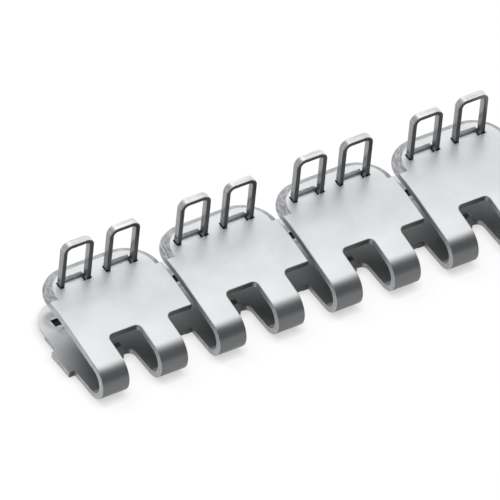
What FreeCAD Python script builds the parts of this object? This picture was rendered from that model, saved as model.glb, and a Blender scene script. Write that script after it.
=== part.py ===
"""Hinged belt fastener strip: folded steel plates joined side by side, each with two preset staples.

X runs along the strip and Y from the hinge loops to the rear edges of the plates. The flat outer
faces of the lower plates lie on Z = 0, and the origin is under the middle of the strip. Millimetres.
"""
import FreeCAD, Part
import math
import os
import re
import Sketcher

# Driving dimensions: name, value, what it measures
SIZES = [
    ("plate_count", 4, "plates in the strip"),
    ("plate_pitch", 25.4, "from one plate to the next along the strip"),
    ("plate_width", 24.2, "width of one plate along the strip"),
    ("sheet_thickness", 1.25, "thickness of the steel sheet"),
    ("plate_length", 24.6, "from the end of the loop to the rear edge, along the sheet"),
    ("corner_radius", 7.05, "rear corners of both plates"),
    ("loop_outer_radius", 3.9, "outer radius of the hinge loops"),
    ("loop_width", 5.9, "width of one hinge loop"),
    ("loop_pitch", 12.7, "from one hinge loop to the next"),
    ("vee_angle", 10.5, "slope of the upper plate where it leaves the loop, in degrees"),
    ("bow_angle", 8.0, "how much of that slope the bow takes back, in degrees"),
    ("bow_radius", 50.0, "radius of the bow in the upper plate"),
    ("bow_start", 9.3, "from the loop to the start of the bow"),
    ("edge_round", 0.22, "rounded rim of the outer faces"),
    ("upper_slot_length", 5.4, "from the loop to the end of the slots, upper plate"),
    ("upper_slot_corner", 1.1, "corner radius of the slots, upper plate"),
    ("lower_slot_length", 6.5, "from the loop to the end of the middle slot, lower plate"),
    ("lower_slot_corner", 1.3, "corner radius of the slots, lower plate"),
    ("bridge_front", 6.0, "from the loop to the bridge between two lower plates"),
    ("bridge_length", 6.4, "length of the bridge from front to rear"),
    ("stop_front", 5.4, "from the loop to the front of the belt stop"),
    ("stop_width", 2.0, "width of the belt stop"),
    ("stop_height", 2.6, "height of the belt stop above the lower plate"),
    ("stop_corner", 0.7, "rounded top corners of the belt stop"),
    ("coin_width", 1.6, "width of the coined slope along the rear edge"),
    ("coin_depth", 0.85, "depth of the coined slope at the rear edge"),
    ("coin_shift", 0.35, "sideways offset of the coining tool"),
    ("coin_run", 0.6, "how far the coining goes past the rear corners"),
    ("staple_spacing", 10.0, "between the two staples of a plate"),
    ("staple_setback", 4.6, "from the rear edge of the upper plate to the legs' centre"),
    ("staple_width", 6.6, "outer width of a staple"),
    ("staple_height", 10.4, "height of a preset staple above the upper plate"),
    ("staple_corner", 1.8, "outer corner radius of a staple"),
    ("wire_thickness", 0.9, "staple wire, along the strip"),
    ("wire_depth", 1.5, "staple wire, from front to rear"),
    ("wire_round", 0.16, "rounded edges of the staple wire"),
    ("tip_length", 1.0, "how far the leg tips stand out below the upper plate"),
    ("tip_chamfer", 0.3, "chamfer of the leg tips"),
    ("leg_clearance", 0.15, "gap around a leg in the upper plate"),
    ("recess_depth", 0.9, "depth of the crown recess"),
    ("recess_rear", 1.0, "from the legs' centre to the rear wall of the recess"),
    ("recess_front", 0.8, "from the legs' centre to the front corners of the recess"),
    ("recess_front_radius", 6.0, "radius of the bulged front rim of the recess"),
    ("recess_lip", 0.75, "rounded rear lip of the recess"),
    ("boss_length", 8.6, "pressed boss under the recess, along the strip"),
    ("boss_depth", 3.6, "pressed boss under the recess, from front to rear"),
    ("boss_height", 0.6, "pressed boss under the recess, height"),
    ("boss_draft", 25.0, "draft of the sides of the boss, in degrees"),
    ("lower_hole", 1.9, "side of the square leg holes in the lower plate"),
    ("funnel_radius", 3.0, "lead-in funnel around a lower hole, at the plate's surface"),
    ("funnel_floor", 1.15, "lead-in funnel, radius at its bottom"),
    ("funnel_depth", 0.55, "lead-in funnel, depth"),
    ("lobe_offset", 2.7, "front lobe of the funnel, distance from the hole"),
    ("lobe_radius", 1.7, "front lobe of the funnel, at the plate's surface"),
    ("lobe_floor", 0.5, "front lobe of the funnel, radius at its bottom"),
    ("lobe_depth", 0.35, "front lobe of the funnel, depth"),
]
size = {name: value for name, value, meaning in SIZES}

doc = FreeCAD.newDocument("belt_fastener_strip")
sheet = doc.addObject("Spreadsheet::Sheet", "sizes")
for row, (name, value, meaning) in enumerate(SIZES, start=1):
    sheet.set(f"A{row}", meaning)
    sheet.set(f"B{row}", str(value))
    sheet.setAlias(f"B{row}", name)
doc.recompute()

# Places worked out from the driving dimensions
GAP = "(plate_pitch - plate_width)"
STRIP_X = f"({GAP} - plate_count * plate_pitch / 2)"
LOOP_Y = "(-(plate_length - loop_outer_radius) / 2)"
LOWER_REAR_Y = f"({LOOP_Y} + plate_length)"
UPPER_FRONT_Y = f"({LOOP_Y} - loop_outer_radius * sin(vee_angle * 1 deg))"
UPPER_FRONT_Z = "(loop_outer_radius * (1 + cos(vee_angle * 1 deg)))"
# The rear end of the upper plate, measured off the folded profile
UPPER_REAR_Y = "(folded_profile.Constraints.upper_rear_y / 1 mm)"
UPPER_REAR_Z = "(folded_profile.Constraints.upper_rear_z / 1 mm)"
REAR_SLOPE = "(vee_angle - bow_angle)"
REAR_COS = f"cos({REAR_SLOPE} * 1 deg)"
REAR_SIN = f"sin({REAR_SLOPE} * 1 deg)"
# The staples stand square on the rear of the upper plate and point at the lower holes
LEG_Y = f"({UPPER_REAR_Y} - staple_setback * {REAR_COS})"
LEG_Z = f"({UPPER_REAR_Z} - staple_setback * {REAR_SIN})"
LEG_FOOT_Y = f"({LEG_Y} + ({LEG_Z} - sheet_thickness / 2) * {REAR_SIN} / {REAR_COS})"
LEG_REACH = "(staple_width / 2 - wire_thickness)"
CUT_MARGIN = "1"


def formula(text):
    """A formula over the names in the sheet, as the document's expressions write it."""
    return re.sub(r"[a-z_]+[a-z]", lambda word: f"sizes.{word[0]}" if word[0] in size else word[0], str(text))


def bind(thing, path, text):
    thing.setExpression(path, formula(text))


def origin_plane(body, role):
    return next(plane for plane in body.Origin.OriginFeatures if plane.Role == role)


def new_sketch(body, name, role="XY_Plane", x="0", y="0", z="0", tilt="0"):
    """A sketch on an origin plane, moved to x, y, z in that plane's own axes and tilted about its X."""
    sketch = body.newObject("Sketcher::SketchObject", name)
    sketch.AttachmentSupport = [(origin_plane(body, role), "")]
    sketch.MapMode = "FlatFace"
    place(sketch, "AttachmentOffset", x, y, z, tilt)
    return sketch


def place(thing, path, x, y, z, tilt="0"):
    setattr(thing, path, FreeCAD.Placement(FreeCAD.Vector(), FreeCAD.Rotation(FreeCAD.Vector(1, 0, 0), 1)))
    for axis, text in zip("xyz", (x, y, z)):
        bind(thing, f"{path}.Base.{axis}", text)
    bind(thing, f"{path}.Rotation.Angle", tilt)


def drawn(sketch, kind, where):
    """What a dimension measures on the outline as first drawn, so that it starts out satisfied."""
    if kind == "Radius":
        return sketch.Geometry[where[0]].Radius
    if kind == "Distance":
        return sketch.Geometry[where[0]].length()
    if kind == "Angle":
        line = sketch.Geometry[where[2]]
        return math.atan2(line.EndPoint.y - line.StartPoint.y, line.EndPoint.x - line.StartPoint.x)
    point = sketch.getPoint(where[2], where[3])
    return point.x if kind == "DistanceX" else point.y


def constrain(sketch, kind, *where, to=None):
    """Adds a constraint. A dimension is bound to the formula it has to follow."""
    if to is None:
        sketch.addConstraint(Sketcher.Constraint(kind, *where))
        return
    index = sketch.addConstraint(Sketcher.Constraint(kind, *where, drawn(sketch, kind, where)))
    bind(sketch, f"Constraints[{index}]", to)


def polygon(sketch, corners):
    """A closed outline of straight lines through corners given as pairs of formulas."""
    first = sketch.GeometryCount
    count = len(corners)
    ring = [FreeCAD.Vector(math.cos(2 * math.pi * i / count), math.sin(2 * math.pi * i / count), 0)
            for i in range(count)]
    for i in range(count):
        sketch.addGeometry(Part.LineSegment(ring[i], ring[(i + 1) % count]), False)
    for i in range(count):
        sketch.addConstraint(Sketcher.Constraint("Coincident", first + i, 2, first + (i + 1) % count, 1))
    for i, (x, y) in enumerate(corners):
        constrain(sketch, "DistanceX", -1, 1, first + i, 1, to=x)
        constrain(sketch, "DistanceY", -1, 1, first + i, 1, to=y)


def rectangle(sketch, x_low, x_high, y_low, y_high):
    polygon(sketch, [(x_low, y_low), (x_high, y_low), (x_high, y_high), (x_low, y_high)])


def extrude(body, kind, name, sketch, length, reverse=False, symmetric=False):
    feature = body.newObject(f"PartDesign::{kind}", name)
    feature.Profile = sketch
    bind(feature, "Length", length)
    feature.Reversed = reverse
    if symmetric:
        feature.SideType = "Symmetric"
    doc.recompute()
    return feature


def edges(feature, wanted):
    """Names of the feature's edges whose middle, direction and ends pass a test."""
    names = []
    for number, edge in enumerate(feature.Shape.Edges, start=1):
        middle = edge.valueAt((edge.FirstParameter + edge.LastParameter) / 2)
        if wanted(edge, middle):
            names.append(f"Edge{number}")
    return names


def round_edges(body, name, base, wanted, radius):
    fillet = body.newObject("PartDesign::Fillet", name)
    fillet.Base = (base, edges(base, wanted))
    bind(fillet, "Radius", radius)
    doc.recompute()
    return fillet


def runs_along(edge, axis):
    """True for a straight edge along the axis."""
    if not isinstance(edge.Curve, Part.Line):
        return False
    return abs(edge.Curve.Direction.dot(axis)) > 0.999


def draw_folded_profile(sketch):
    """Side view of one plate: lower plate, loop, upper plate with its bow, and one thickness inwards."""
    thick = size["sheet_thickness"]
    radius = size["loop_outer_radius"]
    slope = math.radians(size["vee_angle"])
    rear_slope = math.radians(size["vee_angle"] - size["bow_angle"])
    bow = size["bow_radius"]
    rear_run = size["plate_length"] - size["bow_start"] - bow * (slope - rear_slope)
    vector = FreeCAD.Vector
    centre = vector(-(size["plate_length"] - radius) / 2, radius, 0)
    along = vector(math.cos(slope), math.sin(slope), 0)
    up = vector(-math.sin(slope), math.cos(slope), 0)
    rear_along = vector(math.cos(rear_slope), math.sin(rear_slope), 0)
    rear_up = vector(-math.sin(rear_slope), math.cos(rear_slope), 0)
    bow_centre = centre + up * (radius - bow) + along * size["bow_start"]

    def arc(middle, reach, start, end):
        circle = Part.Circle(middle, vector(0, 0, 1), reach)
        return Part.ArcOfCircle(circle, start, end)

    def chain(inset):
        """Lower line, loop, upper front line, bow and upper rear line, inset from the outer face."""
        low = vector(centre.x, inset, 0)
        low_rear = vector(centre.x + size["plate_length"], inset, 0)
        top = centre + up * (radius - inset)
        bow_from = bow_centre + up * (bow - inset)
        bow_to = bow_centre + rear_up * (bow - inset)
        rear = bow_to + rear_along * rear_run
        half = math.pi / 2
        pieces = [Part.LineSegment(low_rear, low),
                  arc(centre, radius - inset, half + slope, 3 * half),
                  Part.LineSegment(top, bow_from),
                  arc(bow_centre, bow - inset, half + rear_slope, half + slope),
                  Part.LineSegment(bow_to, rear)]
        return [sketch.addGeometry(piece, False) for piece in pieces], low_rear, rear

    outer, outer_low, outer_rear = chain(0.0)
    inner, inner_low, inner_rear = chain(thick)
    lower_end = sketch.addGeometry(Part.LineSegment(outer_low, inner_low), False)
    upper_end = sketch.addGeometry(Part.LineSegment(outer_rear, inner_rear), False)
    for low, loop, front, bend, rear in (outer, inner):
        constrain(sketch, "Tangent", low, 2, loop, 2)
        constrain(sketch, "Tangent", loop, 1, front, 1)
        constrain(sketch, "Tangent", front, 2, bend, 2)
        constrain(sketch, "Tangent", bend, 1, rear, 1)
    constrain(sketch, "Coincident", outer[0], 1, lower_end, 1)
    constrain(sketch, "Coincident", inner[0], 1, lower_end, 2)
    constrain(sketch, "Coincident", outer[4], 2, upper_end, 1)
    constrain(sketch, "Coincident", inner[4], 2, upper_end, 2)
    constrain(sketch, "Coincident", outer[1], 3, inner[1], 3)
    constrain(sketch, "Coincident", outer[3], 3, inner[3], 3)
    constrain(sketch, "PointOnObject", outer[0], 1, -1)
    constrain(sketch, "Horizontal", outer[0])
    constrain(sketch, "Horizontal", inner[0])
    constrain(sketch, "Vertical", lower_end)
    constrain(sketch, "Perpendicular", upper_end, outer[4])
    constrain(sketch, "Parallel", inner[4], outer[4])
    constrain(sketch, "Parallel", inner[2], outer[2])
    constrain(sketch, "Radius", outer[1], to="loop_outer_radius")
    constrain(sketch, "Radius", inner[1], to="loop_outer_radius - sheet_thickness")
    constrain(sketch, "Radius", outer[3], to="bow_radius")
    constrain(sketch, "DistanceX", -1, 1, outer[1], 3, to=LOOP_Y)
    constrain(sketch, "Angle", -1, 1, outer[2], 1, to="vee_angle * 1 deg")
    constrain(sketch, "Angle", -1, 1, outer[4], 1, to=f"{REAR_SLOPE} * 1 deg")
    constrain(sketch, "Distance", outer[2], to="bow_start")
    constrain(sketch, "Distance", outer[0], to="plate_length")
    constrain(sketch, "Distance", outer[4],
              to="plate_length - bow_start - bow_radius * bow_angle * pi / 180")
    # The rear end of the upper outer face, measured off the drawing for what is placed from it
    for kind, name in (("DistanceX", "upper_rear_y"), ("DistanceY", "upper_rear_z")):
        start = outer_rear.x if kind == "DistanceX" else outer_rear.y
        index = sketch.addConstraint(Sketcher.Constraint(kind, -1, 1, outer[4], 2, start))
        sketch.setDriving(index, False)
        sketch.renameConstraint(index, name)


def draw_slots(sketch, middle_end, side_end):
    """The open ends of the middle slot and of the slot shared with the next plate."""
    front = f"(-loop_outer_radius - {CUT_MARGIN})"
    rectangle(sketch, "loop_width", "loop_pitch", front, middle_end)
    rectangle(sketch, "loop_pitch + loop_width", f"plate_width + {CUT_MARGIN}", front, side_end)


def draw_coining_path(sketch):
    """Inner line of the coined slope round the rear of a plate, measured from its rear edge."""
    inset = size["coin_width"]
    corner = size["corner_radius"]
    left = inset + size["coin_shift"]
    right = size["plate_width"] - inset + size["coin_shift"]
    reach = corner - inset
    end = -corner - size["coin_run"]
    vector = FreeCAD.Vector
    axis = vector(0, 0, 1)
    left_circle = Part.Circle(vector(left + reach, -corner, 0), axis, reach)
    right_circle = Part.Circle(vector(right - reach, -corner, 0), axis, reach)
    pieces = [Part.LineSegment(vector(left, end, 0), vector(left, -corner, 0)),
              Part.ArcOfCircle(left_circle, math.pi / 2, math.pi),
              Part.LineSegment(vector(left + reach, -inset, 0), vector(right - reach, -inset, 0)),
              Part.ArcOfCircle(right_circle, 0, math.pi / 2),
              Part.LineSegment(vector(right, -corner, 0), vector(right, end, 0))]
    side, turn, rear, other_turn, other_side = [sketch.addGeometry(piece, False) for piece in pieces]
    constrain(sketch, "Tangent", side, 2, turn, 2)
    constrain(sketch, "Tangent", turn, 1, rear, 1)
    constrain(sketch, "Tangent", rear, 2, other_turn, 2)
    constrain(sketch, "Tangent", other_turn, 1, other_side, 1)
    constrain(sketch, "Vertical", side)
    constrain(sketch, "Horizontal", rear)
    constrain(sketch, "Vertical", other_side)
    constrain(sketch, "Radius", turn, to="corner_radius - coin_width")
    constrain(sketch, "Radius", other_turn, to="corner_radius - coin_width")
    constrain(sketch, "DistanceX", -1, 1, side, 1, to="coin_width + coin_shift")
    constrain(sketch, "DistanceY", -1, 1, side, 1, to="-corner_radius - coin_run")
    constrain(sketch, "DistanceY", -1, 1, turn, 3, to="-corner_radius")
    constrain(sketch, "DistanceX", -1, 1, other_side, 2, to="plate_width - coin_width + coin_shift")
    constrain(sketch, "DistanceY", -1, 1, other_side, 2, to="-corner_radius - coin_run")


def coin_rear(body, name, y, z, slope, outward):
    """Cuts the coined slope round the rear of a plate; outward is 1 if its outer face looks up, or -1."""
    path = new_sketch(body, f"{name}_path", "XY_Plane", y=y, z=z, tilt=slope)
    draw_coining_path(path)
    back = "(corner_radius + coin_run)"
    start_y = f"({y} - {back} * cos({slope} * 1 deg))"
    start_z = f"({z} - {back} * sin({slope} * 1 deg))"
    wedge = new_sketch(body, f"{name}_wedge", "XZ_Plane", x="coin_width + coin_shift", y=start_z,
                       z=f"-{start_y}", tilt=slope)
    reach = f"(coin_width + coin_shift + {CUT_MARGIN})"
    drop = f"{-outward} * {reach} * coin_depth / coin_width"
    polygon(wedge, [("0", "0"), (f"-{reach}", drop), (f"-{reach}", f"{outward} * {CUT_MARGIN}"),
                    ("0", f"{outward} * {CUT_MARGIN}")])
    doc.recompute()
    sweep = body.newObject("PartDesign::SubtractivePipe", name)
    sweep.Profile = wedge
    sweep.Spine = (path, [f"Edge{number + 1}" for number in range(path.GeometryCount)])
    doc.recompute()
    return sweep


def draw_recess(sketch, middle):
    """Recess for a staple's crown: straight rear wall, and a front rim that bulges forward."""
    first = sketch.GeometryCount
    vector = FreeCAD.Vector
    half = size["staple_width"] / 2 - size["wire_thickness"]
    radius = size["recess_front_radius"]
    across = math.asin(half / radius)
    front = -size["staple_setback"] - size["recess_front"]
    rear = -size["staple_setback"] + size["recess_rear"]
    corners = [vector(-half, front, 0), vector(-half, rear, 0), vector(half, rear, 0), vector(half, front, 0)]
    for start, end in zip(corners, corners[1:]):
        sketch.addGeometry(Part.LineSegment(start, end), False)
    rim_circle = Part.Circle(vector(0, front + radius * math.cos(across), 0), vector(0, 0, 1), radius)
    down = 3 * math.pi / 2
    rim = sketch.addGeometry(Part.ArcOfCircle(rim_circle, down - across, down + across), False)
    left, back, right = first, first + 1, first + 2
    constrain(sketch, "Coincident", left, 2, back, 1)
    constrain(sketch, "Coincident", back, 2, right, 1)
    constrain(sketch, "Coincident", right, 2, rim, 2)
    constrain(sketch, "Coincident", left, 1, rim, 1)
    constrain(sketch, "DistanceX", -1, 1, left, 1, to=f"{middle} - {LEG_REACH}")
    constrain(sketch, "DistanceY", -1, 1, left, 1, to="-staple_setback - recess_front")
    constrain(sketch, "DistanceX", -1, 1, left, 2, to=f"{middle} - {LEG_REACH}")
    constrain(sketch, "DistanceY", -1, 1, left, 2, to="-staple_setback + recess_rear")
    constrain(sketch, "DistanceX", -1, 1, right, 1, to=f"{middle} + {LEG_REACH}")
    constrain(sketch, "DistanceY", -1, 1, right, 1, to="-staple_setback + recess_rear")
    constrain(sketch, "DistanceX", -1, 1, right, 2, to=f"{middle} + {LEG_REACH}")
    constrain(sketch, "DistanceY", -1, 1, right, 2, to="-staple_setback - recess_front")
    constrain(sketch, "Radius", rim, to="recess_front_radius")


def cut_cone(body, name, x, y, radius, floor, depth):
    """A conical lead-in, from the inner face of the lower plate down to its floor."""
    cone = body.newObject("PartDesign::SubtractiveCone", name)
    cone.AttachmentSupport = [(origin_plane(body, "XY_Plane"), "")]
    cone.MapMode = "FlatFace"
    place(cone, "AttachmentOffset", x, y, f"sheet_thickness - {depth}")
    height = f"({depth} + {CUT_MARGIN})"
    bind(cone, "Radius1", floor)
    bind(cone, "Radius2", f"{floor} + ({radius} - {floor}) * {height} / {depth}")
    bind(cone, "Height", height)
    doc.recompute()
    return cone


strip = doc.addObject("PartDesign::Body", "fastener_strip")
strip.Label = "fastener_strip"
place(strip, "Placement", STRIP_X, "0", "0")

# One sheet, folded round the hinge loop
profile = new_sketch(strip, "folded_profile", "YZ_Plane")
draw_folded_profile(profile)
doc.recompute()
folded = extrude(strip, "Pad", "folded_sheet", profile, "plate_width")
outer_line = Part.Wire([curve.toShape() for curve in profile.Geometry[:5]])


def on_outer_skin(point):
    """True for a point on the outer side of the folded sheet."""
    return outer_line.distToShape(Part.Vertex(point.y, point.z, 0))[0] < 0.01


def is_sharp(shape, edge, point):
    """True where the two faces beside an edge meet at an angle."""
    normals = []
    for face in shape.ancestorsOfType(edge, Part.Face):
        normals.append(face.normalAt(*face.Surface.parameter(point)))
    return abs(normals[0].dot(normals[-1])) < 0.99


rear_corners = round_edges(strip, "rear_corners", folded,
                           lambda edge, middle: edge.Length < 1.01 * size["sheet_thickness"],
                           "corner_radius")

# Slots between the loops, cut square to the sheet from either side and met in the loop
upper_slots_sketch = new_sketch(strip, "upper_slots_sketch", y=UPPER_FRONT_Y, z=UPPER_FRONT_Z,
                                tilt="vee_angle")
draw_slots(upper_slots_sketch, "upper_slot_length", "upper_slot_length")
upper_slots = extrude(strip, "Pocket", "upper_slots", upper_slots_sketch, "loop_outer_radius")
lower_slots_sketch = new_sketch(strip, "lower_slots_sketch", y=LOOP_Y)
draw_slots(lower_slots_sketch, "lower_slot_length", "bridge_front")
lower_slots = extrude(strip, "Pocket", "lower_slots", lower_slots_sketch, "loop_outer_radius", reverse=True)
X_AXIS = FreeCAD.Vector(1, 0, 0)
Y_AXIS = FreeCAD.Vector(0, 1, 0)
Z_AXIS = FreeCAD.Vector(0, 0, 1)
slope = math.radians(size["vee_angle"])
UPPER_NORMAL = FreeCAD.Vector(0, -math.sin(slope), math.cos(slope))
loop_centre_y = -(size["plate_length"] - size["loop_outer_radius"]) / 2


def inside_sides(point):
    return 0.1 < point.x < size["plate_width"] - 0.1


upper_slot_corners = round_edges(strip, "upper_slot_corners", lower_slots,
                                 lambda edge, middle: runs_along(edge, UPPER_NORMAL) and inside_sides(middle),
                                 "upper_slot_corner")
in_front_half = loop_centre_y + size["plate_length"] / 2
lower_slot_corners = round_edges(strip, "lower_slot_corners", upper_slot_corners,
                                 lambda edge, middle: runs_along(edge, Z_AXIS) and inside_sides(middle)
                                 and middle.y < in_front_half, "lower_slot_corner")

# The stamping rounds the rim of the outer faces, all the way round
cornered = lower_slot_corners.Shape
round_edges(strip, "rounded_rim", lower_slot_corners,
            lambda edge, middle: on_outer_skin(middle) and is_sharp(cornered, edge, middle), "edge_round")

# The bridge to the plate before, sheared off flush on the first plate
bridge_sketch = new_sketch(strip, "bridge_sketch", y=f"{LOOP_Y} + bridge_front")
rectangle(bridge_sketch, f"-{GAP}", "2 * edge_round", "0", "bridge_length")
extrude(strip, "Pad", "bridge", bridge_sketch, "sheet_thickness")

# Belt stop: a tongue turned up out of the middle slot
stop_sketch = new_sketch(strip, "stop_sketch", "YZ_Plane", x=f"{LOOP_Y} + stop_front",
                         z="(loop_width + loop_pitch) / 2")
rectangle(stop_sketch, "0", "sheet_thickness", "0", "sheet_thickness + stop_height")
stop = extrude(strip, "Pad", "belt_stop", stop_sketch, "stop_width", symmetric=True)
stop_top = size["sheet_thickness"] + size["stop_height"]
stop_face = loop_centre_y + size["stop_front"]
stop_corners = round_edges(strip, "belt_stop_corners", stop,
                           lambda edge, middle: runs_along(edge, Y_AXIS) and inside_sides(middle)
                           and abs(middle.z - stop_top) < 0.01, "stop_corner")
round_edges(strip, "belt_stop_bend", stop_corners,
            lambda edge, middle: runs_along(edge, X_AXIS) and abs(middle.z) < 0.01
            and abs(middle.y - stop_face) < 0.01, "stop_corner")

# Coined slope round the rear of the outer faces
coin_rear(strip, "upper_coining", UPPER_REAR_Y, UPPER_REAR_Z, REAR_SLOPE, 1)
coin_rear(strip, "lower_coining", LOWER_REAR_Y, "0", "0", -1)

# Pressed bosses and crown recesses for the two staples
STAPLE_MIDDLES = [f"(plate_width / 2 {sign} staple_spacing / 2)" for sign in "-+"]
LEG_MIDDLES = [f"({middle} {sign} (staple_width - wire_thickness) / 2)"
               for middle in STAPLE_MIDDLES for sign in "-+"]
boss_sketch = new_sketch(strip, "boss_sketch", y=f"{UPPER_REAR_Y} + sheet_thickness * {REAR_SIN}",
                         z=f"{UPPER_REAR_Z} - sheet_thickness * {REAR_COS}", tilt=REAR_SLOPE)
recess_sketch = new_sketch(strip, "recess_sketch", y=UPPER_REAR_Y, z=UPPER_REAR_Z, tilt=REAR_SLOPE)
for middle in STAPLE_MIDDLES:
    rectangle(boss_sketch, f"{middle} - boss_length / 2", f"{middle} + boss_length / 2",
              "-staple_setback - boss_depth / 2", "-staple_setback + boss_depth / 2")
    draw_recess(recess_sketch, middle)
bosses = extrude(strip, "Pad", "crown_bosses", boss_sketch, "boss_height", reverse=True)
bind(bosses, "TaperAngle", "-boss_draft")
doc.recompute()
recesses = extrude(strip, "Pocket", "crown_recesses", recess_sketch, "recess_depth")
rear_slope = math.radians(size["vee_angle"] - size["bow_angle"])
rear_edge = FreeCAD.Vector(0, profile.getDatum("upper_rear_y").Value, profile.getDatum("upper_rear_z").Value)
rear_along = FreeCAD.Vector(0, math.cos(rear_slope), math.sin(rear_slope))
lip_line = rear_edge + rear_along * (size["recess_rear"] - size["staple_setback"])


def on_lip(edge, middle):
    """True for the upper edge of a recess's rear wall."""
    return runs_along(edge, X_AXIS) and FreeCAD.Vector(0, middle.y, middle.z).distanceToPoint(lip_line) < 0.01


round_edges(strip, "recess_lips", recesses, on_lip, "recess_lip")

# Leg holes: close round the legs in the upper plate, larger and funnelled in the lower one
upper_holes_sketch = new_sketch(strip, "upper_holes_sketch", y=UPPER_REAR_Y, z=UPPER_REAR_Z, tilt=REAR_SLOPE)
lower_holes_sketch = new_sketch(strip, "lower_holes_sketch", y=LEG_FOOT_Y)
for middle in LEG_MIDDLES:
    rectangle(upper_holes_sketch, f"{middle} - wire_thickness / 2 - leg_clearance",
              f"{middle} + wire_thickness / 2 + leg_clearance",
              "-staple_setback - wire_depth / 2 - leg_clearance",
              "-staple_setback + wire_depth / 2 + leg_clearance")
    rectangle(lower_holes_sketch, f"{middle} - lower_hole / 2", f"{middle} + lower_hole / 2",
              "-lower_hole / 2", "lower_hole / 2")
extrude(strip, "Pocket", "upper_holes", upper_holes_sketch, f"sheet_thickness + boss_height + {CUT_MARGIN}")
extrude(strip, "Pocket", "lower_holes", lower_holes_sketch, f"sheet_thickness + {CUT_MARGIN}", reverse=True)
for number, middle in enumerate(LEG_MIDDLES, start=1):
    cut_cone(strip, f"funnel_{number}", middle, LEG_FOOT_Y, "funnel_radius", "funnel_floor", "funnel_depth")
    cut_cone(strip, f"funnel_lobe_{number}", middle, f"{LEG_FOOT_Y} - lobe_offset", "lobe_radius", "lobe_floor",
             "lobe_depth")

# The same plate, repeated along the strip
row = strip.newObject("PartDesign::LinearPattern", "plates")
row.TransformMode = "Whole shape"
row.Direction = (origin_plane(strip, "X_Axis"), [""])
row.Mode = "Spacing"
bind(row, "Offset", "plate_pitch")
bind(row, "Occurrences", "plate_count")
doc.recompute()
strip.Tip = row
doc.recompute()


def make_staple(name, plate, middle):
    """One preset staple: square wire bent to a U, crown up, legs through the upper plate."""
    body = doc.addObject("PartDesign::Body", name)
    body.Label = name
    place(body, "Placement", f"{STRIP_X} + {plate} * plate_pitch + {middle}", LEG_Y, LEG_Z, REAR_SLOPE)
    foot = "(-(sheet_thickness + boss_height + tip_length))"
    side = "(staple_width / 2)"
    inner_top = "(staple_height - wire_thickness)"
    outline = new_sketch(body, f"{name}_outline", "XZ_Plane")
    polygon(outline, [(f"-{side}", foot), (f"-{side}", "staple_height"), (side, "staple_height"), (side, foot),
                      (LEG_REACH, foot), (LEG_REACH, inner_top), (f"-{LEG_REACH}", inner_top),
                      (f"-{LEG_REACH}", foot)])
    wire = extrude(body, "Pad", f"{name}_wire", outline, "wire_depth", symmetric=True)
    top = size["staple_height"]
    thick = size["wire_thickness"]
    low = -(size["sheet_thickness"] + size["boss_height"] + size["tip_length"])
    outer = round_edges(body, f"{name}_crown", wire,
                        lambda edge, middle: runs_along(edge, Y_AXIS) and abs(middle.z - top) < 0.01,
                        "staple_corner")
    inner = round_edges(body, f"{name}_inner", outer,
                        lambda edge, middle: runs_along(edge, Y_AXIS) and abs(middle.z - top + thick) < 0.01
                        and abs(middle.x) > size["staple_width"] / 2 - thick - 0.01,
                        "staple_corner - wire_thickness")
    tips = body.newObject("PartDesign::Chamfer", f"{name}_tips")
    tips.Base = (inner, edges(inner, lambda edge, middle: runs_along(edge, Y_AXIS) and abs(middle.z - low) < 0.01))
    bind(tips, "Size", "tip_chamfer")
    doc.recompute()
    above_tips = low + size["tip_chamfer"]
    round_edges(body, f"{name}_rounded", tips,
                lambda edge, middle: abs(abs(middle.y) - size["wire_depth"] / 2) < 0.01 and middle.z > above_tips,
                "wire_round")
    return body


bodies = [strip]
for plate in range(size["plate_count"]):
    for side_name, middle in zip(("left", "right"), STAPLE_MIDDLES):
        bodies.append(make_staple(f"staple_{plate + 1}_{side_name}", plate, middle))
doc.recompute()

for thing in doc.Objects:
    if any(state in ("Invalid", "Error") for state in thing.State):
        raise RuntimeError(f"{thing.Name} is {thing.State}")
os.makedirs("parts", exist_ok=True)
for body in bodies:
    if body.Shape.isNull() or not body.Shape.isValid() or len(body.Shape.Solids) != 1:
        raise RuntimeError(f"{body.Label} isn't one valid solid")
    body.Shape.exportStep(f"parts/{body.Label}.step")
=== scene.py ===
"""Looks of the belt fastener strip: satin plated steel plates and bright wire staples on a pale floor.

Everything is in metres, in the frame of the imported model. The strip lies along X, with its loops in front,
towards -Y.
"""
import math

import bpy
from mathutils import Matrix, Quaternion, Vector

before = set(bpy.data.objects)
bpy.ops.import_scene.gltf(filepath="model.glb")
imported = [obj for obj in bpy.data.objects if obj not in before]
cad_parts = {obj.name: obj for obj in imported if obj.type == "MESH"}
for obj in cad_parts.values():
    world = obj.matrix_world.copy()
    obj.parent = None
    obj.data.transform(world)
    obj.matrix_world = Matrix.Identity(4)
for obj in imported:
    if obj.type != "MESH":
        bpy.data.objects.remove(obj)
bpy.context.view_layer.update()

MM = 0.001

# Camera: the photograph's viewing angle, seen through a very long lens
VIEW_TARGET = Vector((-8.95, 0.80, 10.1)) * MM
VIEW_WIDTH = 93.27 * MM
VIEW_AZIMUTH = math.radians(-33.8)
VIEW_ELEVATION = math.radians(42.3)
VIEW_ROLL = math.radians(4.0)
LENS = 1500.0
SENSOR = 36.0

# Dome: bright overhead, dim on the left and dark high up in front. A pair is the span of one part of the
# direction over which the light changes, and a share is what holds at the dimmer end of a span.
DOME_LIGHT = 1.12
DOME_DARK = 0.34
DARK_FRONT = (0.24, -0.62)
DARK_SIDE = (-0.5, -0.1)
DARK_SIDE_SHARE = 0.3
DARK_HEIGHT = (0.0, 0.3)
DARK_HEIGHT_SHARE = 0.6
DIM_SIDE = (-0.55, 0.15)
DIM_SIDE_SHARE = 0.45
OVERHEAD = (0.74, 0.88)
OVERHEAD_GAIN = 1.6

# Lamp, high up behind the strip
LAMP_DIRECTION = (-0.3, 0.5, 0.85)
LAMP_DISTANCE = 0.7
LAMP_SIZE = 0.5
LAMP_POWER = 3.0

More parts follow.
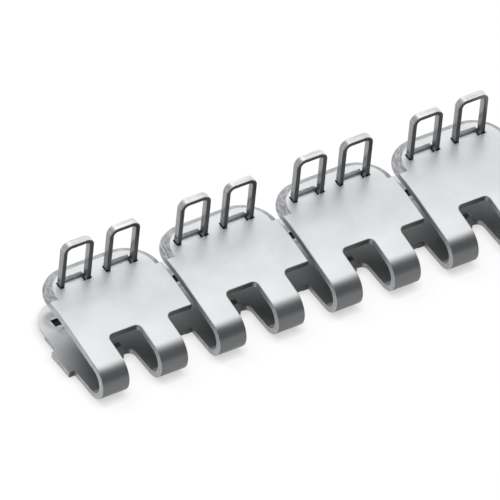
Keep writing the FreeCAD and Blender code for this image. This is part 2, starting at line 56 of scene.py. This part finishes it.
# Floor, with a painted contact shadow near the strip and a painted shadow under the leg holes
FLOOR_SIZE = 6.0
FLOOR_COLOURS = ((0.93, 0.93, 0.935), (0.96, 0.96, 0.96))
FLOOR_SHADOW = (0.02, 0.02, 0.02)
FLOOR_WHITE = (1.0, 1.0, 1.0)
FLOOR_PATCHES = 9.0
FLOOR_ROUGHNESS = 0.9
FLOOR_SPECULAR = 0.1
FLOOR_GLOW = 0.9
CONTACT_SHADOW_REACH = 2.0 * MM
CONTACT_SHADOW_SHARE = 0.55

# Plates, the centres of their rounded rear corners, and the rows of leg holes in their lower halves, under
# which the floor gets a painted shadow
PLATES = 4
PLATE_PITCH = 25.4 * MM
FIRST_PLATE = -37.5 * MM
CORNER_SIDE = 5.05 * MM
CORNER_REAR = 7.20 * MM
HOLES_REACH = 9.2 * MM
HOLES_FRONT = 7.8 * MM
HOLES_REAR = 10.5 * MM

# Zones of a plate, each from where it starts to where it is full: a place along Y, a height along Z, or a
# lean, which is one part of the surface's normal
COINED_PLACE = (2.0 * MM, 4.0 * MM)
COINED_LEAN = (0.74, 0.80)
COINED_LIMIT = (0.95, 0.92)
WALL_PLACE = (-9.0 * MM, -8.0 * MM)
WALL_LEAN = (0.5, 0.3)
SIDE_LEAN = (0.5, 0.8)
TOP_PLACE = (3.0 * MM, 5.0 * MM)
TOP_HEIGHT = (7.0 * MM, 8.0 * MM)
LOWER_HEIGHT = (6.5 * MM, 4.0 * MM)
LOWER_LEAN = (0.3, 0.6)
LOWER_PLACE = (-12.0 * MM, 8.0 * MM)
FACE_PLACE = (-8.0 * MM, 0.0)

# Painted shade on a plate, in its fold and under its loops, and the dark tint and level that the staples'
# painted shade uses too: a share is how much of the colour is left
SHADE_TINT = (1.0, 1.05, 1.1)
SHADE_LEVEL = 0.03
FOLD_REACH = 13.0 * MM
FOLD_POWER = 1.0
FOLD_SKY = (0.05, 0.68)
FOLD_SHADE_LEVEL = 0.10
LOWER_SHARE = 0.34
TOP_SPARED = 0.6
UNDER_START = 0.65
UNDER_POWER = 2.8
UNDER_SHARE = 0.21
BELOW_LEAN = (-0.6, 0.0)
BELOW_SHARE = 0.5
EDGE_LEAN = (0.4, 0.7)

# Noises: scale per metre, detail, roughness and distortion
CLOUD = (130.0, 4.0, 0.6)
GRAIN = (2600.0, 3.0, 0.6)
SMEAR = (700.0, 4.0, 0.6, 1.2)
DRAG = (4600.0, 3.0, 0.6, 0.5)
DRAG_STRETCH = 0.16
SCALES = 1700.0
SCALES_SOFTNESS = 0.6
SCALES_SHARE = 0.4

# Span of a noise in which one colour or roughness goes over into another
SOFT_SPAN = (0.3, 0.7)
WIDE_SPAN = (0.25, 0.75)
HARD_SPAN = (0.36, 0.64)
STREAK_SPAN = (0.34, 0.66)

# Plate finish: colours from dark to pale, and relief as depth and strength
FACE_COLOURS = ((0.615, 0.63, 0.64), (0.68, 0.695, 0.705))
COINED_COLOURS = ((0.24, 0.25, 0.26), (0.49, 0.50, 0.52))
SHEARED_COLOURS = ((0.36, 0.37, 0.38), (0.50, 0.51, 0.52))
PLATE_METAL = 0.7
LOOP_ROUGHNESS = (0.28, 0.36)
FACE_ROUGHNESS = 0.44
COINED_ROUGHNESS = 0.46
SHEARED_ROUGHNESS = 0.5
PLATE_ROUNDING = 0.12 * MM
SMEAR_RELIEF = (0.004 * MM, 0.5)
GRAIN_RELIEF = (0.002 * MM, 0.4)
COINED_RELIEF = (0.12 * MM, 0.7)

# Staple finish
WIRE_COLOURS = ((0.54, 0.545, 0.55), (0.76, 0.765, 0.77))
WIRE_METAL = 1.0
WIRE_ROUGHNESS = (0.2, 0.3)
WIRE_ROUNDING = 0.05 * MM
WIRE_RELIEF = (0.006 * MM, 0.4)
LEG_LINES = (3200.0, 2.0, 0.5)
CROWN_LINES = (2200.0, 2.0, 0.5)
WIRE_CLOUD = (400.0, 3.0, 0.55)
LINE_STRETCH = 0.06
LINE_SHARE = 0.6
CROWN_LEAN = (0.4, 0.7)
# Painted shade on the staples: darker sides and fronts, and darker near other surfaces
SIDES_LEAN = (0.2, 0.7)
SIDES_SHADE_SHARE = 0.40
FRONT_LEAN = (-0.9, -0.5)
FRONT_SHADE_SHARE = 0.42
WIRE_SHADE_REACH = 2.0 * MM
WIRE_SHADE_POWER = 1.2

SMOOTH_LIMIT = math.radians(24)
WELD = 1e-6
BEVEL_SAMPLES = 6
SKY_SAMPLES = 8


def add(tree, kind, settings=None, **inputs):
    """Adds a node. An input that is a socket is linked, and any other is set.

    In an input's name _ is a space, and i with a figure is the input of that number.
    """
    node = tree.nodes.new(kind)
    for name, value in (settings or {}).items():
        setattr(node, name, value)
    for name, value in inputs.items():
        socket = node.inputs[int(name[1:])] if name[1:].isdigit() else node.inputs[name.replace("_", " ")]
        if isinstance(value, bpy.types.NodeSocket):
            tree.links.new(value, socket)
        else:
            socket.default_value = value
    return node


def math_node(tree, operation, first, second=0.0):
    return add(tree, "ShaderNodeMath", {"operation": operation}, i0=first, i1=second).outputs[0]


def product(tree, first, *others):
    for other in others:
        first = math_node(tree, "MULTIPLY", first, other)
    return first


def parts(tree, vector):
    """The parts of a vector along X, Y and Z."""
    return add(tree, "ShaderNodeSeparateXYZ", None, Vector=vector).outputs


def ramp(tree, value, low, high, to_low=0.0, to_high=1.0):
    """A smooth step of value from low to high."""
    node = add(tree, "ShaderNodeMapRange", {"interpolation_type": "SMOOTHSTEP"}, Value=value, From_Min=low,
               From_Max=high, To_Min=to_low, To_Max=to_high)
    return node.outputs["Result"]


def mix_colour(tree, share, first, second):
    first, second = (colour if isinstance(colour, bpy.types.NodeSocket) else (*colour, 1.0)
                     for colour in (first, second))
    return add(tree, "ShaderNodeMix", {"data_type": "RGBA"}, i0=share, i6=first, i7=second).outputs[2]


def mix_value(tree, share, first, second):
    return add(tree, "ShaderNodeMix", {"data_type": "FLOAT"}, i0=share, i2=first, i3=second).outputs[0]


def noise(tree, place, scale, detail=3.0, roughness=0.5, distortion=0.0):
    node = add(tree, "ShaderNodeTexNoise", None, Vector=place, Scale=scale, Detail=detail, Roughness=roughness,
               Distortion=distortion)
    return node.outputs["Fac"]


def new_material(name):
    material = bpy.data.materials.new(name)
    material.use_nodes = True
    material.node_tree.nodes.clear()
    return material, material.node_tree


def beside_plate(tree, x):
    """Distance of x from the centre line of the plate that it lies in."""
    along = math_node(tree, "SUBTRACT", x, FIRST_PLATE - PLATE_PITCH / 2)
    along = math_node(tree, "FLOORED_MODULO", along, PLATE_PITCH)
    return math_node(tree, "ABSOLUTE", math_node(tree, "SUBTRACT", along, PLATE_PITCH / 2))


def open_sky(tree, reach, power, own=False):
    """1 in the open, and less where the surface lies in a corner or under something near."""
    sky = add(tree, "ShaderNodeAmbientOcclusion", {"samples": SKY_SAMPLES, "only_local": own}, Distance=reach)
    return math_node(tree, "POWER", sky.outputs["AO"], power)


# Painted shade: the colour goes over into a dark tint where the share is below 1
def paint_shade(tree, colour, share, level=SHADE_LEVEL):
    return mix_colour(tree, share, tuple(level * tint for tint in SHADE_TINT), colour)


def rounded_edges(tree, radius):
    return add(tree, "ShaderNodeBevel", {"samples": BEVEL_SAMPLES}, Radius=radius).outputs["Normal"]


def bump(tree, height, normal, depth, strength):
    node = add(tree, "ShaderNodeBump", None, Height=height, Distance=depth, Strength=strength, Normal=normal)
    return node.outputs["Normal"]


def finish_metal(tree, colour, roughness, normal, metallic):
    shader = add(tree, "ShaderNodeBsdfPrincipled", None, Base_Color=colour, Metallic=metallic,
                 Roughness=roughness, Normal=normal)
    add(tree, "ShaderNodeOutputMaterial", None, Surface=shader.outputs[0])


def plate_zones(tree, spot, facing):
    """Shares, from 0 to 1, of the coined slope, the sheared walls and the rear of the upper half."""
    upright = math_node(tree, "ABSOLUTE", facing["Z"])
    side_on = math_node(tree, "ABSOLUTE", facing["X"])

    # The coined slope is the only face behind the loops that leans by about 28 degrees
    coined = product(tree, ramp(tree, upright, *COINED_LEAN), ramp(tree, upright, *COINED_LIMIT),
                     ramp(tree, spot["Y"], *COINED_PLACE))

    # Sheared walls stand square to the sheet
    wall = product(tree, ramp(tree, upright, *WALL_LEAN), ramp(tree, spot["Y"], *WALL_PLACE))
    sheared = math_node(tree, "MAXIMUM", wall, ramp(tree, side_on, *SIDE_LEAN))
    top = product(tree, ramp(tree, spot["Y"], *TOP_PLACE), ramp(tree, spot["Z"], *TOP_HEIGHT))
    return coined, sheared, top


def coining_marks(tree, spot):
    """Marks of the coining tool, which run along the rim."""
    side = math_node(tree, "SUBTRACT", beside_plate(tree, spot["X"]), CORNER_SIDE)
    side = math_node(tree, "MAXIMUM", side, 0.0)
    back = math_node(tree, "MAXIMUM", math_node(tree, "SUBTRACT", spot["Y"], CORNER_REAR), 0.0)
    reach = math_node(tree, "ADD", product(tree, side, side), product(tree, back, back))
    rim = add(tree, "ShaderNodeCombineXYZ", None, X=product(tree, spot["X"], DRAG_STRETCH),
              Y=product(tree, spot["Y"], DRAG_STRETCH), Z=math_node(tree, "SQRT", reach))
    return noise(tree, rim.outputs[0], *DRAG)


def paint_plate_shade(tree, colour, spot, geometry, facing, top):
    """Paints shade into the plating's colour inside the fold, under the loops and on the walls that face the
    front.
    """
    # Painted shade inside the fold, where a point sees little open sky: darker towards the front of the lower
    # half, lighter on the rear of the upper half
    inside = ramp(tree, open_sky(tree, FOLD_REACH, FOLD_POWER, True), *FOLD_SKY)
    lower = product(tree, ramp(tree, spot["Z"], *LOWER_HEIGHT), ramp(tree, facing["Z"], *LOWER_LEAN))
    depth = mix_value(tree, lower, 1.0, ramp(tree, spot["Y"], *LOWER_PLACE, LOWER_SHARE, 1.0))
    inside = mix_value(tree, product(tree, top, TOP_SPARED), product(tree, inside, depth), 1.0)
    colour = paint_shade(tree, colour, inside, FOLD_SHADE_LEVEL)

    # Painted shade on faces that turn away from straight up, most of all on faces turned down, but not on the
    # rear of the upper half or on side walls
    rise = parts(tree, geometry["Normal"])["Z"]
    level = add(tree, "ShaderNodeMapRange", None, Value=rise, From_Min=UNDER_START, From_Max=1.0)
    under = mix_value(tree, math_node(tree, "POWER", level.outputs["Result"], UNDER_POWER), UNDER_SHARE, 1.0)
    under = product(tree, under, ramp(tree, rise, *BELOW_LEAN, BELOW_SHARE, 1.0))
    edge = ramp(tree, math_node(tree, "ABSOLUTE", facing["X"]), *EDGE_LEAN)
    under = mix_value(tree, math_node(tree, "MAXIMUM", top, edge), under, 1.0)
    return paint_shade(tree, colour, under)


def plate_material():
    """Satin plated sheet: soft waviness on the faces, dull sheared edges, a rough coined rear slope, and
    painted shade in the fold and under the loops.
    """
    material, tree = new_material("plate_steel")
    place = add(tree, "ShaderNodeTexCoord").outputs["Object"]
    spot = parts(tree, place)
    geometry = add(tree, "ShaderNodeNewGeometry").outputs
    facing = parts(tree, geometry["True Normal"])
    coined, sheared, top = plate_zones(tree, spot, facing)
    cloud, grain, smear = (noise(tree, place, *kind) for kind in (CLOUD, GRAIN, SMEAR))
    drag = coining_marks(tree, spot)

    colour = mix_colour(tree, ramp(tree, cloud, *SOFT_SPAN), *FACE_COLOURS)
    coined_colour = mix_colour(tree, ramp(tree, drag, *HARD_SPAN), *COINED_COLOURS)
    sheared_colour = mix_colour(tree, ramp(tree, smear, *SOFT_SPAN), *SHEARED_COLOURS)
    colour = mix_colour(tree, coined, colour, coined_colour)
    colour = mix_colour(tree, sheared, colour, sheared_colour)
    colour = paint_plate_shade(tree, colour, spot, geometry, facing, top)

    roughness = ramp(tree, cloud, *WIDE_SPAN, *LOOP_ROUGHNESS)
    for zone, value in ((ramp(tree, spot["Y"], *FACE_PLACE), FACE_ROUGHNESS), (coined, COINED_ROUGHNESS),
                        (sheared, SHEARED_ROUGHNESS)):
        roughness = mix_value(tree, zone, roughness, value)

    scales = add(tree, "ShaderNodeTexVoronoi", {"feature": "SMOOTH_F1"}, Vector=place, Scale=SCALES,
                 Smoothness=SCALES_SOFTNESS).outputs["Distance"]
    worked = math_node(tree, "ADD", product(tree, scales, SCALES_SHARE), drag)
    normal = bump(tree, smear, rounded_edges(tree, PLATE_ROUNDING), *SMEAR_RELIEF)
    normal = bump(tree, grain, normal, *GRAIN_RELIEF)
    normal = bump(tree, product(tree, worked, coined), normal, *COINED_RELIEF)
    finish_metal(tree, colour, roughness, normal, PLATE_METAL)
    return material


def staple_material():
    """Bright drawn wire with faint draw lines, and painted shade on its sides, most of all on its front, and
    near other surfaces.
    """
    material, tree = new_material("staple_wire")
    place = add(tree, "ShaderNodeTexCoord").outputs["Object"]
    facing = parts(tree, add(tree, "ShaderNodeNewGeometry").outputs["True Normal"])
    crown = ramp(tree, math_node(tree, "ABSOLUTE", facing["Z"]), *CROWN_LEAN)
    up_legs = add(tree, "ShaderNodeMapping", None, Vector=place, Scale=(1.0, 1.0, LINE_STRETCH)).outputs[0]
    along_crown = add(tree, "ShaderNodeMapping", None, Vector=place, Scale=(LINE_STRETCH, 1.0, 1.0)).outputs[0]
    draw = mix_value(tree, crown, noise(tree, up_legs, *LEG_LINES), noise(tree, along_crown, *CROWN_LINES))
    cloud = noise(tree, place, *WIRE_CLOUD)
    streak = math_node(tree, "ADD", product(tree, draw, LINE_SHARE), product(tree, cloud, 1.0 - LINE_SHARE))
    colour = mix_colour(tree, ramp(tree, streak, *STREAK_SPAN), *WIRE_COLOURS)

    sides = ramp(tree, facing["Z"], *SIDES_LEAN, SIDES_SHADE_SHARE, 1.0)
    front = ramp(tree, facing["Y"], *FRONT_LEAN, FRONT_SHADE_SHARE, 1.0)
    # Painted shade on the sides and most of all on the front, then near other surfaces
    colour = paint_shade(tree, colour, product(tree, sides, front))
    colour = paint_shade(tree, colour, open_sky(tree, WIRE_SHADE_REACH, WIRE_SHADE_POWER))
    roughness = ramp(tree, draw, *SOFT_SPAN, *WIRE_ROUGHNESS)
    normal = bump(tree, draw, rounded_edges(tree, WIRE_ROUNDING), *WIRE_RELIEF)
    finish_metal(tree, colour, roughness, normal, WIRE_METAL)
    return material


def smooth_tree():
    """Geometry nodes that weld the mesh and shade it smooth, apart from edges over the limit."""
    tree = bpy.data.node_groups.new("smooth_by_angle", "GeometryNodeTree")
    tree.interface.new_socket("Geometry", in_out="INPUT", socket_type="NodeSocketGeometry")
    tree.interface.new_socket("Geometry", in_out="OUTPUT", socket_type="NodeSocketGeometry")
    enter = tree.nodes.new("NodeGroupInput")
    plain = add(tree, "GeometryNodeRemoveAttribute", None, Geometry=enter.outputs[0], Name="custom_normal")
    welded = add(tree, "GeometryNodeMergeByDistance", None, Geometry=plain.outputs[0], Distance=WELD)
    smooth = add(tree, "GeometryNodeSetShadeSmooth", {"domain": "FACE"}, Geometry=welded.outputs[0],
                 Shade_Smooth=True)
    angle = add(tree, "GeometryNodeInputMeshEdgeAngle").outputs["Unsigned Angle"]
    sharp = add(tree, "FunctionNodeCompare", {"data_type": "FLOAT", "operation": "GREATER_THAN"}, i0=angle,
                i1=SMOOTH_LIMIT)
    creased = add(tree, "GeometryNodeSetShadeSmooth", {"domain": "EDGE"}, Geometry=smooth.outputs[0],
                  Selection=sharp.outputs[0], Shade_Smooth=False)
    leave = tree.nodes.new("NodeGroupOutput")
    tree.links.new(creased.outputs[0], leave.inputs[0])
    return tree


def dress_nodes():
    """Gives each CAD node its material and smooth shading."""
    steel, wire, smoothing = plate_material(), staple_material(), smooth_tree()
    for name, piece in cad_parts.items():
        material = wire if name.startswith("staple") else steel
        for slot in piece.material_slots:
            slot.material = material
        if not piece.material_slots:
            piece.data.materials.append(material)
        modifier = piece.modifiers.new("smooth", "NODES")
        modifier.node_group = smoothing


def hole_shadow_mask(tree, spot):
    """1 on the floor under the rows of leg holes, where the floor gets a painted shadow, and 0 elsewhere."""
    covered = math_node(tree, "LESS_THAN", beside_plate(tree, spot["X"]), HOLES_REACH)
    for axis, middle, reach in (
        ("X", FIRST_PLATE + (PLATES - 1) / 2 * PLATE_PITCH, PLATES / 2 * PLATE_PITCH),
        ("Y", (HOLES_FRONT + HOLES_REAR) / 2, (HOLES_REAR - HOLES_FRONT) / 2),
    ):
        offset = math_node(tree, "ABSOLUTE", math_node(tree, "SUBTRACT", spot[axis], middle))
        covered = product(tree, covered, math_node(tree, "LESS_THAN", offset, reach))
    return covered


def floor_material():
    """Pale floor. Where it is seen it mostly glows, so shadows on it stay pale; a painted shadow darkens its
    colour and glow near the strip and under the leg holes.
    """
    material, tree = new_material("floor")
    place = add(tree, "ShaderNodeTexCoord").outputs["Object"]
    # Painted shadow: a contact shadow near the strip, and a dark floor under the leg holes
    near = mix_value(tree, open_sky(tree, CONTACT_SHADOW_REACH, 1.0), CONTACT_SHADOW_SHARE, 1.0)
    unshaded_share = product(tree, near, math_node(tree, "SUBTRACT", 1.0, hole_shadow_mask(tree, parts(tree, place))))
    colour = mix_colour(tree, noise(tree, place, FLOOR_PATCHES), *FLOOR_COLOURS)
    shader = add(tree, "ShaderNodeBsdfPrincipled", None, Base_Color=mix_colour(tree, unshaded_share, FLOOR_SHADOW, colour),
                 Roughness=FLOOR_ROUGHNESS, Specular_IOR_Level=FLOOR_SPECULAR)
    emission = add(tree, "ShaderNodeEmission", None, Color=mix_colour(tree, unshaded_share, FLOOR_SHADOW, FLOOR_WHITE),
                   Strength=1.0)
    rays = add(tree, "ShaderNodeLightPath").outputs
    seen = math_node(tree, "MAXIMUM", rays["Is Glossy Ray"], rays["Is Transmission Ray"])
    seen = math_node(tree, "MAXIMUM", rays["Is Camera Ray"], seen)
    mixed = add(tree, "ShaderNodeMixShader", None, i0=product(tree, seen, FLOOR_GLOW), i1=shader.outputs[0],
                i2=emission.outputs[0])
    add(tree, "ShaderNodeOutputMaterial", None, Surface=mixed.outputs[0])
    return material


def make_floor():
    half = FLOOR_SIZE / 2
    mesh = bpy.data.meshes.new("floor")
    mesh.from_pydata([(-half, -half, 0), (half, -half, 0), (half, half, 0), (-half, half, 0)], [],
                     [(0, 1, 2, 3)])
    floor = bpy.data.objects.new("floor", mesh)
    bpy.context.scene.collection.objects.link(floor)
    mesh.materials.append(floor_material())


def make_world():
    """The dome: pale overhead and behind, dimmer on the left, and dark high up in front."""
    world = bpy.data.worlds.new("studio")
    bpy.context.scene.world = world
    world.use_nodes = True
    tree = world.node_tree
    tree.nodes.clear()
    towards = parts(tree, add(tree, "ShaderNodeTexCoord").outputs["Generated"])
    ahead = product(tree, ramp(tree, towards["Y"], *DARK_FRONT),
                    ramp(tree, towards["X"], *DARK_SIDE, DARK_SIDE_SHARE, 1.0),
                    ramp(tree, towards["Z"], *DARK_HEIGHT, DARK_HEIGHT_SHARE, 1.0))
    light = product(tree, mix_value(tree, ahead, DOME_LIGHT, DOME_DARK),
                    ramp(tree, towards["X"], *DIM_SIDE, DIM_SIDE_SHARE, 1.0),
                    ramp(tree, towards["Z"], *OVERHEAD, 1.0, OVERHEAD_GAIN))
    background = add(tree, "ShaderNodeBackground", None, Color=(1, 1, 1, 1), Strength=light)
    add(tree, "ShaderNodeOutputWorld", None, Surface=background.outputs[0])


def make_lamp():
    data = bpy.data.lights.new("key", "AREA")
    data.shape = "DISK"
    data.size = LAMP_SIZE
    data.energy = LAMP_POWER
    lamp = bpy.data.objects.new("key", data)
    direction = Vector(LAMP_DIRECTION).normalized()
    lamp.location = VIEW_TARGET + direction * LAMP_DISTANCE
    lamp.rotation_mode = "QUATERNION"
    lamp.rotation_quaternion = direction.to_track_quat("Z", "Y")
    lamp.visible_glossy = False
    bpy.context.scene.collection.objects.link(lamp)


def make_camera():
    data = bpy.data.cameras.new("camera")
    data.lens = LENS
    data.sensor_width = SENSOR
    camera = bpy.data.objects.new("camera", data)
    level = math.cos(VIEW_ELEVATION)
    back = Vector((math.sin(VIEW_AZIMUTH) * level, -math.cos(VIEW_AZIMUTH) * level, math.sin(VIEW_ELEVATION)))
    distance = VIEW_WIDTH * LENS / SENSOR
    camera.location = VIEW_TARGET + back * distance
    camera.rotation_mode = "QUATERNION"
    camera.rotation_quaternion = (-back).to_track_quat("-Z", "Y") @ Quaternion((0, 0, 1), VIEW_ROLL)
    data.clip_start = distance / 10
    data.clip_end = distance * 2
    bpy.context.scene.collection.objects.link(camera)
    bpy.context.scene.camera = camera


dress_nodes()
make_floor()
make_world()
make_lamp()
make_camera()
bpy.context.scene.view_settings.view_transform = "Standard"
